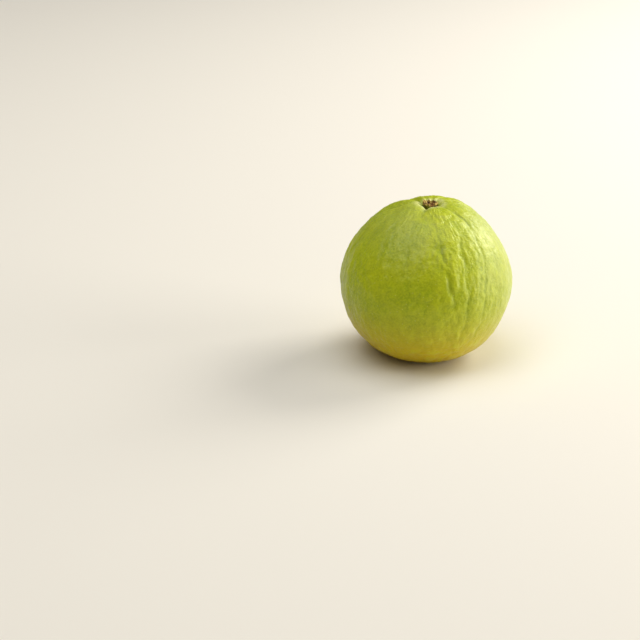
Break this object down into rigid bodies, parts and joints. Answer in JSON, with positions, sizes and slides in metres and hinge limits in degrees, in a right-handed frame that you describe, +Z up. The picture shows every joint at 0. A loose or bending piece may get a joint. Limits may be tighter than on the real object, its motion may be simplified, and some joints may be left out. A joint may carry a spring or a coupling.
{
  "type": "guava fruit",
  "caption": "Round green guava with a furrowed crown, a broken stalk stub in the hollow on top and dried sepals in the basin underneath.",
  "frame": {"origin": "on the surface that the fruit rests on, under the middle of its width and depth", "axes": "+Z up along the fruit from the flower end to the stalk end, -Y the front, +X to the right seen from the front"},
  "size_m": [0.0994, 0.0996, 0.0891],
  "materials": {
    "skin": "satin",
    "stalk": "matte",
    "sepal": "matte"
  },
  "bodies": {
    "root": {"fruit": "skin", "stalk_stub": "stalk", "sepal_1": "sepal", "sepal_2": "sepal", "sepal_3": "sepal", "sepal_4": "sepal", "sepal_5": "sepal"}
  },
  "joints": []
}
